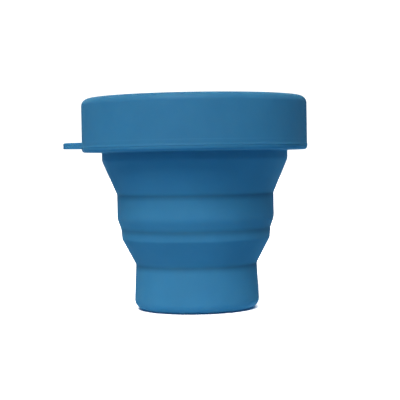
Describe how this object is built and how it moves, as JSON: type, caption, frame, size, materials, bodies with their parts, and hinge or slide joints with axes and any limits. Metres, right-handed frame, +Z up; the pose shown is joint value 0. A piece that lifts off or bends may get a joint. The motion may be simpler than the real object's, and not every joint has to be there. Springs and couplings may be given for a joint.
{
  "type": "folding cup with lid",
  "caption": "Soft drinking cup whose stages fold down inside each other through two thin cones, with a stiff rim ring and a deep push-on lid with a pull tab.",
  "frame": {"origin": "centre of the flat face that the cup stands on, on the cup's own axis", "axes": "+Z up along the cup's axis, from the base to the lid; the lid's pull tab points along -X"},
  "size_m": [0.0976, 0.09, 0.0841],
  "materials": {
    "cup_silicone": "matte moulded silicone",
    "lid_silicone": "matte moulded silicone",
    "ring_plastic": "fine satin"
  },
  "bodies": {
    "base": {"base_cup": "cup_silicone", "lower_fold_web": "cup_silicone"},
    "middle": {"middle_band": "cup_silicone", "upper_fold_web": "cup_silicone"},
    "rim": {"rim_flange": "cup_silicone", "rim_ring": "ring_plastic"},
    "lid": {"lid_shell": "lid_silicone"}
  },
  "joints": [
    {"name": "lower_fold", "type": "slide", "parent": "base", "child": "middle", "axis": [0, 0, -1], "range_m": [0, 0.0222], "deforming": ["lower_fold_web"]},
    {"name": "upper_fold", "type": "slide", "parent": "middle", "child": "rim", "axis": [0, 0, -1], "range_m": [0, 0.0268], "deforming": ["upper_fold_web"]},
    {"name": "lid_lift", "type": "slide", "parent": "rim", "child": "lid", "axis": [0, 0, 1], "range_m": [0, 0.045]}
  ]
}
